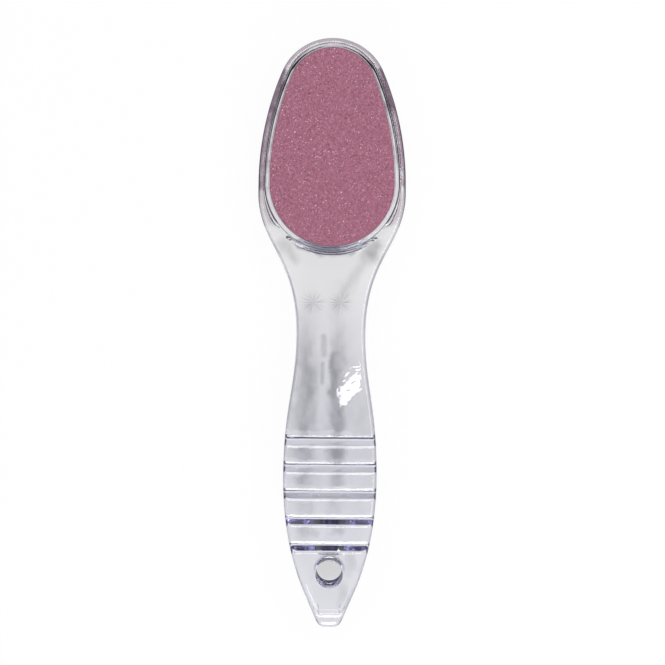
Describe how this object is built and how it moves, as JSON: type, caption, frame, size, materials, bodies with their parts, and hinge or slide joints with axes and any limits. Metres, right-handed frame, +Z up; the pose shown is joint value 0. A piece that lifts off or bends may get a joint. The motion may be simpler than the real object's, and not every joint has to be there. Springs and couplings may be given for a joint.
{
  "type": "foot file",
  "caption": "Clear moulded foot file: egg-shaped head with a bonded abrasive pad on each face, waisted neck, ribbed grip and pointed tail with a hanging hole.",
  "frame": {"origin": "under the middle of the file's length and width, at the level of the grip's lowest point", "axes": "+Y along the file towards the head, +Z up through the thickness out of the front face, +X across"},
  "size_m": [0.0578, 0.2299, 0.014],
  "materials": {
    "clear_plastic": "clear, polished moulding with a faint violet tint in depth",
    "adhesive_film": "milky double-sided film",
    "backing_sheet": "heavy matt abrasive paper",
    "mauve_grit": "rough resin-bonded grains with small glints"
  },
  "bodies": {
    "root": {"clear_handle": "clear_plastic", "front_adhesive": "adhesive_film", "front_backing": "backing_sheet", "front_grit_coat": "mauve_grit", "rear_adhesive": "adhesive_film", "rear_backing": "backing_sheet", "rear_grit_coat": "mauve_grit"}
  },
  "joints": []
}
